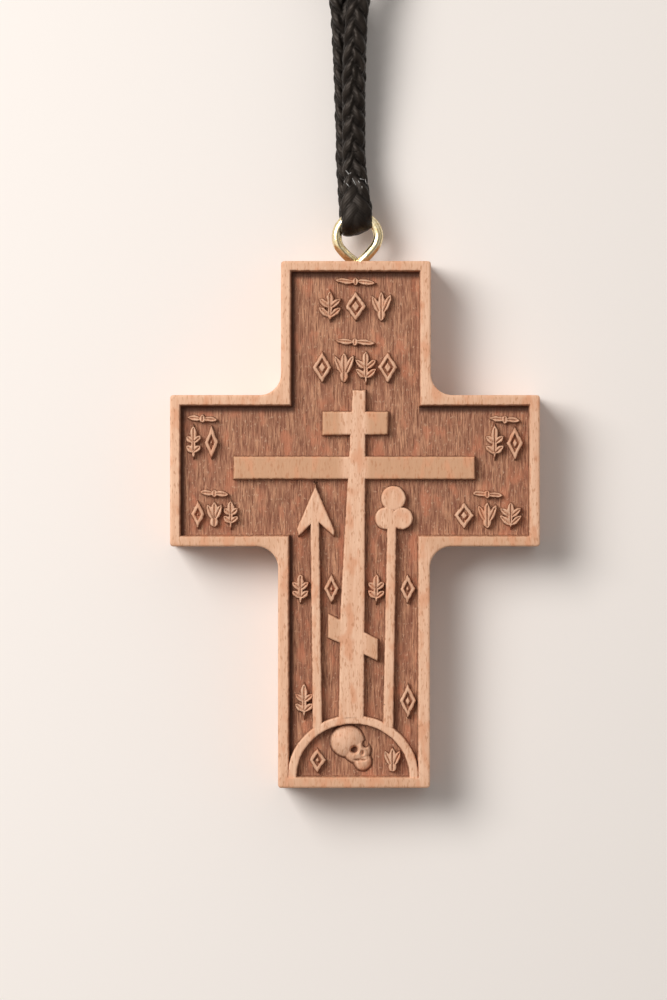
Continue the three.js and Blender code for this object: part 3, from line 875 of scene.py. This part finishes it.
def make_screw_eye():
    """One wire: a threaded shank in the wood, up its right side, over, and down the left to tuck behind."""
    shank_length = 6.0
    point_length = 1.8
    point_share = 0.15
    thread_pitch = 0.6
    thread_depth = 0.05
    rounded_end = 0.3
    ring_spacing = 0.06
    shank = [(eye_x, cross_top - shank_length, eye_z), (eye_x, cross_top - 3, eye_z),
             (eye_x + 0.02, cross_top - 1.0, eye_z)]
    neck = [(eye_x + 0.12, cross_top - 0.45, eye_z + 0.1), (0.72, 25.83, eye_z + 0.2),
            (1.12, 26.22, eye_z + 0.24), (1.66, 26.82, eye_z + 0.18), (2.08, 27.42, eye_z + 0.12)]
    angle = np.radians(np.arange(0, 181, 20.0))
    ring = np.stack([
        eye_x + 0.01 + (eye_radius + 0.01) * np.cos(angle),
        eye_y + eye_radius * np.sin(angle),
        eye_z + 0.1 * np.cos(angle),
    ], axis=1)
    tail = [(-1.62, 27.36, eye_z - 0.15), (-1.22, 26.8, eye_z - 0.28), (-0.72, 26.3, eye_z - 0.42),
            (-0.2, 25.88, eye_z - 0.55), (0.1, 25.62, eye_z - 0.62)]
    curve = smooth_route(np.concatenate([np.array(shank), np.array(neck), ring, np.array(tail)]))
    points, wanted = evenly_along(curve, ring_spacing)
    around = 2 * np.pi * np.arange(32) / 32
    thread = thread_depth * smooth_step(points[:, 1], cross_top - 1.2, cross_top - 1.5)
    taper = point_share + (1 - point_share) * smooth_step(wanted, 0.0, point_length)
    wave = np.cos(2 * np.pi * wanted[:, None] / thread_pitch - around)
    radius = (wire_radius * taper)[:, None] - thread[:, None] * (1 - wave)
    blunt = np.sqrt(np.clip(1 - (1 - (wanted[-1] - wanted) / rounded_end) ** 2, 0.02, 1))
    radius = radius * np.where(wanted > wanted[-1] - rounded_end, blunt, 1)[:, None]
    piece = skin("screw_eye_wire", rings_round(points, *across_and_up(points), radius, radius, around))
    dress(piece, brass_material(), "pendant")
    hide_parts("screw_eye")


make_screw_eye()


# Cord: its route

# Free strands: how far up, then across and off the surface, first of the right strand, in front above the
# eye, and then of the left one, which lies behind and arches a little off the surface
strand_rows = np.array([
    (36.5, -0.1, 3.0, -0.7, 1.05),
    (38.5, -0.1, 3.1, -0.75, 1.1),
    (43, -0.1, 3.6, -0.9, 1.5),
    (47.5, 0.05, 4.1, -1.1, 2.1),
    (51.8, 0.5, 4.05, -1.5, 2.35),
    (55.6, 2.2, 3.2, -3.2, 2.3),
    (58.7, 5.2, 2.15, -6.2, 2.0),
    (61.4, 8.8, 1.5, -9.8, 1.85),
    (64.5, 12.4, 1.15, -13.4, 2.05),
    (68.5, 15.3, 1.15, -16.3, 2.85),
    (73, 17.2, 1.15, -18.2, 3.9),
    (77.9, 18.1, 1.15, -19.1, 4.25),
])
right_route = strand_rows[:, [1, 0, 2]]
left_route = strand_rows[:, [3, 0, 4]]


def coil_route():
    """Spiral in to the middle turn and out again a layer higher: the radius changes by a pitch a turn."""
    points_per_turn = 36
    turn = np.linspace(0, coil_turns, int(coil_turns * points_per_turn) + 1)
    radius = coil_radius - coil_pitch * np.minimum(turn, coil_turns - turn)
    angle = 2 * np.pi * turn
    climb = smooth_step(turn, coil_turns / 2 - 0.25, coil_turns / 2 + 0.25)
    return np.stack([
        coil_centre[0] + radius * np.cos(angle),
        coil_centre[1] + radius * np.sin(angle),
        lowest_layer + climb * coil_pitch,
    ], axis=1)


# Cord: its braid

def braid_pattern(along, around):
    """Relief of the braid, 0 in its pits and 1 on its plaits, and 1 where the right-hand strands are on top.

    Half the strands wind to the right and half to the left. Each is a round yarn across its width, times a
    wave that lifts it over two strands and sinks it under two by a cosine of its place round the cord.
    """
    around = around - 1 / 16
    cell = whole_length / 256
    drift = unevenness(along, 1.6 * np.cos(4 * np.pi * around), cell, 1.0, 21)
    drift = drift + unevenness(along, 1.6 * np.sin(4 * np.pi * around), cell, 1.0, 22)
    wave = np.cos(np.pi * braid_strands * around - np.pi / 4 + 0.4 * drift)
    heights = []
    for hand in (1, -1):
        strand = braid_strands * around - hand * along / braid_step + 0.1 * drift
        off_middle = 2 * np.abs(strand - np.round(strand))
        yarn = 1 - 0.7 * off_middle**2
        heights.append(yarn * (0.4 + 0.6 * smooth_step(hand * wave, -0.7, 1.1)))
    height = np.maximum(heights[0], heights[1]) * (1 + 0.1 * drift)
    return height, (heights[0] > heights[1]).astype(float)


def braided_tube(name, points, along, side, up, half_side, half_up, around_count, relief=0.46,
                 smoothed=None, shape_ring=None):
    """Braid carried along a path: each ring is an ellipse whose radius follows the braid's relief.

    The cord's two ends are closed by one face each. Its UV map holds lays along and turns around.
    """
    around = np.arange(around_count) / around_count
    height, hand = braid_pattern(along[:, None], around[None, :])
    if smoothed is not None:
        height = height * (1 - smoothed[:, None]) + 0.75 * smoothed[:, None]
    radius = 1 + relief * (height - 0.84)
    rings = rings_round(points, side, up, half_side[:, None] * radius, half_up[:, None] * radius,
                        2 * np.pi * around)
    if shape_ring is not None:
        rings = shape_ring(rings)
    # plait carries the relief to the material, which paints shade into the pits from it
    return skin(name, rings, along / braid_step / braid_strands, around, plait=height, hand=hand)


def neck_route():
    """From the bend above the eye up the right strand, round the coil and down the left strand."""
    return smooth_route(np.concatenate([right_route, coil_route(), left_route[::-1]]))


def make_neck_cord(curve, along):
    """Both free strands and the coil as one cord, whose rings lie closer where the picture shows it."""
    seen_until = 53.0
    seen_step = 0.11
    coil_step = 0.44
    steps = np.where(curve[:-1, 1] < seen_until, seen_step, coil_step)
    ring_number = np.concatenate([[0], np.cumsum(np.diff(along) / steps)])
    numbers = np.linspace(0, ring_number[-1], int(ring_number[-1]) + 1)
    wanted = np.interp(numbers, ring_number, along)
    points = at_lengths(curve, along, wanted)
    side, up = across_and_up(points)
    flatness = smooth_step(points[:, 1], 54.0, 47.0)
    half_side = cord_diameter / 2 * (1 + 0.03 * flatness)
    half_up = cord_diameter / 2 * (1 - 0.14 * flatness)
    around_count = 54
    piece = braided_tube("neck_cord_braid", points, wanted, side, up, half_side, half_up, around_count)
    return piece, points


def loop_route():
    """The bight through the eye: down behind the ring's wire, round it and up in front."""
    wrap_radius = 1.24
    rear = np.array([(-0.7, bend_y, 1.05), (-0.62, 34.5, 1.08), (-0.45, 32.6, 1.3), (-0.15, 31.2, 1.65)])
    angle = np.radians(np.arange(250, 89, -20.0))
    wrap = np.stack([
        np.full(len(angle), eye_x - 0.08),
        wrap_y + wrap_radius * np.cos(angle),
        eye_z + wrap_radius * np.sin(angle),
    ], axis=1)
    front = np.array([(0.14, 31.5, 4.2), (0.12, 33.2, 3.7), (-0.02, 34.9, 3.15), (-0.1, bend_y, 3.0)])
    return smooth_route(np.concatenate([rear, wrap, front]))


def make_loop_cord(curve, start_along):
    """The bight as one cord, which is flattened and squarer on the wire, and lower on its left side."""
    ring_spacing = 0.085
    points, wanted = evenly_along(curve, ring_spacing)
    tangent = np.gradient(points, axis=0)
    tangent[[0, -1]] = [[0, -1, 0], [0, 1, 0]]
    tangent = unit(tangent)
    side = unit(np.array([-1.0, 0, 0]) - tangent * (tangent @ [-1.0, 0, 0])[:, None])
    up = np.cross(tangent, side)
    on_wire = smooth_step(points[:, 1], 34.0, 30.0)
    half_side = cord_diameter / 2 * 1.03 + 0.42 * on_wire
    half_up = cord_diameter / 2 * 0.86 - 0.2 * on_wire

    def pull_to_left(rings):
        share = smooth_step(rings[..., 1], 31.8, 29.2)
        rings[..., 1] += share * (0.12 + 0.24 * (rings[..., 0] - eye_x))
        return rings

    around_count = 84
    return braided_tube("cord_loop_braid", points, start_along + wanted, side, up, half_side, half_up,
                        around_count, smoothed=0.6 * on_wire, shape_ring=pull_to_left)


def cord_material():
    """Black multifilament braid: painted shade in its pits, a soft sheen on the plaits and fine filaments
    along each.
    """
    material, tree, shader = new_material("black_braid")
    plait = mask_named(tree, "plait")
    hand = mask_named(tree, "hand")
    wound = add_node(tree, "ShaderNodeSeparateXYZ", {0: add_node(tree, "ShaderNodeUVMap").outputs[0]})
    filaments_in_yarn = 7.0
    filament_count = filaments_in_yarn * braid_strands
    lean = calculate(tree, "MULTIPLY", wound.outputs[0], calculate(tree, "MULTIPLY_ADD", hand, -2.0, 1.0))
    across = calculate(tree, "MULTIPLY", calculate(tree, "ADD", wound.outputs[1], lean), filament_count)
    filament = calculate(tree, "PINGPONG", across, 0.5)
    wear = stretched_noise(tree, (0.7, 1.2, 0.7), 2.0)
    worn = calculate(tree, "MULTIPLY", between(tree, wear, 0.45, 0.75), between(tree, plait, 0.6, 1.0))
    # Painted shade: the braid's colour darkens from the plaits down into the pits
    base = coated(tree, (0.0015, 0.001, 0.0008, 1), (
        (between(tree, plait, 0.6, 0.98), 1.0, (0.009, 0.0065, 0.005, 1)),
        (worn, 1.0, (0.03, 0.024, 0.02, 1)),
    ))
    relief = calculate(tree, "MULTIPLY_ADD", filament, 0.18, plait)
    feed(tree, shader, {"Base Color": base, "Roughness": 0.44, "Specular IOR Level": 0.25,
                        "Specular Tint": (1.0, 0.86, 0.76, 1), "Normal": bumps(tree, relief, 0.7, 0.2)})
    return material


def thread_material():
    """Glossy clear thread."""
    material, tree, shader = new_material("clear_thread")
    feed(tree, shader, {"Base Color": (0.2, 0.19, 0.18, 1), "Roughness": 0.16,
                        "Coat Weight": 1.0, "Coat Roughness": 0.08})
    return material


# Stitches, each between the two points where the thread leaves the front strand and goes back in
stitches = [
    ((-0.9, 34.65), (-0.38, 33.98)),
    ((-0.3, 34.5), (-0.62, 34.05)),
    ((-1.02, 33.55), (-0.56, 33.0)),
    ((-0.28, 33.85), (0.12, 33.1)),
    ((0.2, 33.72), (0.62, 33.12)),
    ((0.42, 33.78), (0.9, 33.66)),
    ((0.68, 33.2), (0.7, 32.7)),
    ((1.0, 33.75), (1.1, 33.3)),
]


def make_stitches(front):
    """One thread through both strands: each stitch is an arch over the front strand, and dives between them.

    Over a stitch the thread rises by 4t(1 - t) of its height above the strand's own curve.
    """
    front = front[np.argsort(front[:, 1])]
    rear_z = 1.1
    strand_half_width = 1.25
    strand_half_height = 0.93
    sunk = 0.16
    arch_height = 0.24
    thread_radius = 0.055
    ring_spacing = 0.05
    points = [(-0.6, 34.9, rear_z)]
    for start, end in stitches:
        for t in (0.0, 0.25, 0.5, 0.75, 1.0):
            x = start[0] + (end[0] - start[0]) * t
            y = start[1] + (end[1] - start[1]) * t
            middle_x = np.interp(y, front[:, 1], front[:, 0])
            middle_z = np.interp(y, front[:, 1], front[:, 2])
            bulge = math.sqrt(max(0.05, 1 - ((x - middle_x) / strand_half_width) ** 2))
            arch = 4 * t * (1 - t) * arch_height
            points.append((x, y, middle_z + strand_half_height * bulge - sunk + arch))
        points.append((end[0] * 0.7, end[1], middle_z))
    points.append((-0.5, 32.6, rear_z))
    path = evenly_along(smooth_route(np.array(points), 12), ring_spacing)[0]
    side, up = across_and_up(path, (0.3, 0.2, 1))
    angle = 2 * np.pi * np.arange(10) / 10
    return skin("seam_stitches", rings_round(path, side, up, thread_radius, thread_radius, angle))


braid = cord_material()
neck_curve = neck_route()
neck_along = length_along(neck_curve)
neck_length = neck_along[-1]
loop_curve = loop_route()
whole_length = neck_length + length_along(loop_curve)[-1]
braid_step = whole_length / round(whole_length / braid_step)
neck_cord, neck_points = make_neck_cord(neck_curve, neck_along)
dress(neck_cord, braid)
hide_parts("cord_right_strand", "cord_left_strand", "cord_coil")
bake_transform(neck_cord)
loop_cord = dress(make_loop_cord(loop_curve, neck_length), braid, "sewn_loop")
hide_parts("cord_loop")
front_half = loop_curve[len(loop_curve) // 2:]
seam = dress(make_stitches(front_half[front_half[:, 2] > 2.8]), thread_material(), "sewn_loop")
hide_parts("seam_thread")


# Light, floor and background

floor_colour = (0.925, 0.862, 0.81, 1)
backdrop_colour = (0.9, 0.84, 0.78, 1)


def make_floor():
    """Flat pale floor just under the part."""
    reach = 2500.0
    below = -0.03
    corners = np.array([(-1, -1, 0), (1, -1, 0), (1, 1, 0), (-1, 1, 0)]) * reach + (0, 0, below)
    floor = make_piece("floor", corners, [[0, 1, 2, 3]])
    material, tree, shader = new_material("pale_floor")
    feed(tree, shader, {"Base Color": floor_colour, "Roughness": 0.85, "Specular IOR Level": 0.1})
    floor.data.materials.append(material)


def make_world():
    """Fill light that is stronger from the upper right; the camera sees a pale backdrop instead.

    Reflections see a studio that is bright to the upper left and dimmer away from it, with a dark patch
    beside the camera.
    """
    world = bpy.data.worlds.new("studio")
    bpy.context.scene.world = world
    world.use_nodes = True
    tree = world.node_tree
    backdrop = add_node(tree, "ShaderNodeBackground", {"Color": backdrop_colour, "Strength": 0.95})
    direction = add_node(tree, "ShaderNodeTexCoord").outputs["Generated"]

    def towards(aim):
        inputs = {0: direction, 1: tuple(aim)}
        return add_node(tree, "ShaderNodeVectorMath", inputs, operation="DOT_PRODUCT").outputs["Value"]

    fill = tree.nodes["Background"]
    fill_strength = 0.31
    lean = towards((0.5, 0.75, 0.0))
    leaning = calculate(tree, "MULTIPLY_ADD", lean, fill_strength, fill_strength)
    feed(tree, fill, {"Color": (1.0, 0.985, 0.97, 1), "Strength": leaning})
    window = between(tree, towards(unit([-0.56, 0.33, 0.76])), -0.4, 0.95)
    patch = between(tree, towards(unit([0.3, -0.05, 0.95])), 0.93, 0.985)
    brightness = calculate(tree, "MULTIPLY_ADD", window, 0.95, 0.3)
    unpatched = calculate(tree, "MULTIPLY_ADD", patch, -0.8, 1.0)
    brightness = calculate(tree, "MULTIPLY", brightness, unpatched)
    studio = add_node(tree, "ShaderNodeBackground", {"Color": backdrop_colour, "Strength": brightness})
    rays = add_node(tree, "ShaderNodeLightPath")
    direct = calculate(tree, "MAXIMUM", rays.outputs["Is Camera Ray"], rays.outputs["Is Transmission Ray"])
    mix = add_node(tree, "ShaderNodeMixShader", {0: direct, 1: fill.outputs[0], 2: backdrop.outputs[0]})
    mix = add_node(tree, "ShaderNodeMixShader", {0: rays.outputs["Is Glossy Ray"], 1: mix.outputs[0],
                                                 2: studio.outputs[0]})
    tree.links.new(mix.outputs[0], tree.nodes["World Output"].inputs["Surface"])


def make_key_light():
    """Square softbox to the upper left, aimed below the cross so that the light falls off less downwards."""
    distance = 420.0
    place = unit([-0.74, 0.44, 1.0]) * distance
    aim = unit(np.array([0.0, -200.0, 0.0]) - place)
    data = bpy.data.lights.new("key", "AREA")
    data.shape = "SQUARE"
    data.size = 238.0 * MM
    data.energy = 1.73
    data.color = (1.0, 0.99, 0.98)
    light = place_object("key", data)
    light.location = place * MM
    light.rotation_euler = (0, math.acos(-aim[2]), math.atan2(-aim[1], -aim[0]))


make_floor()
make_world()
make_key_light()
bpy.context.scene.view_settings.view_transform = "Standard"
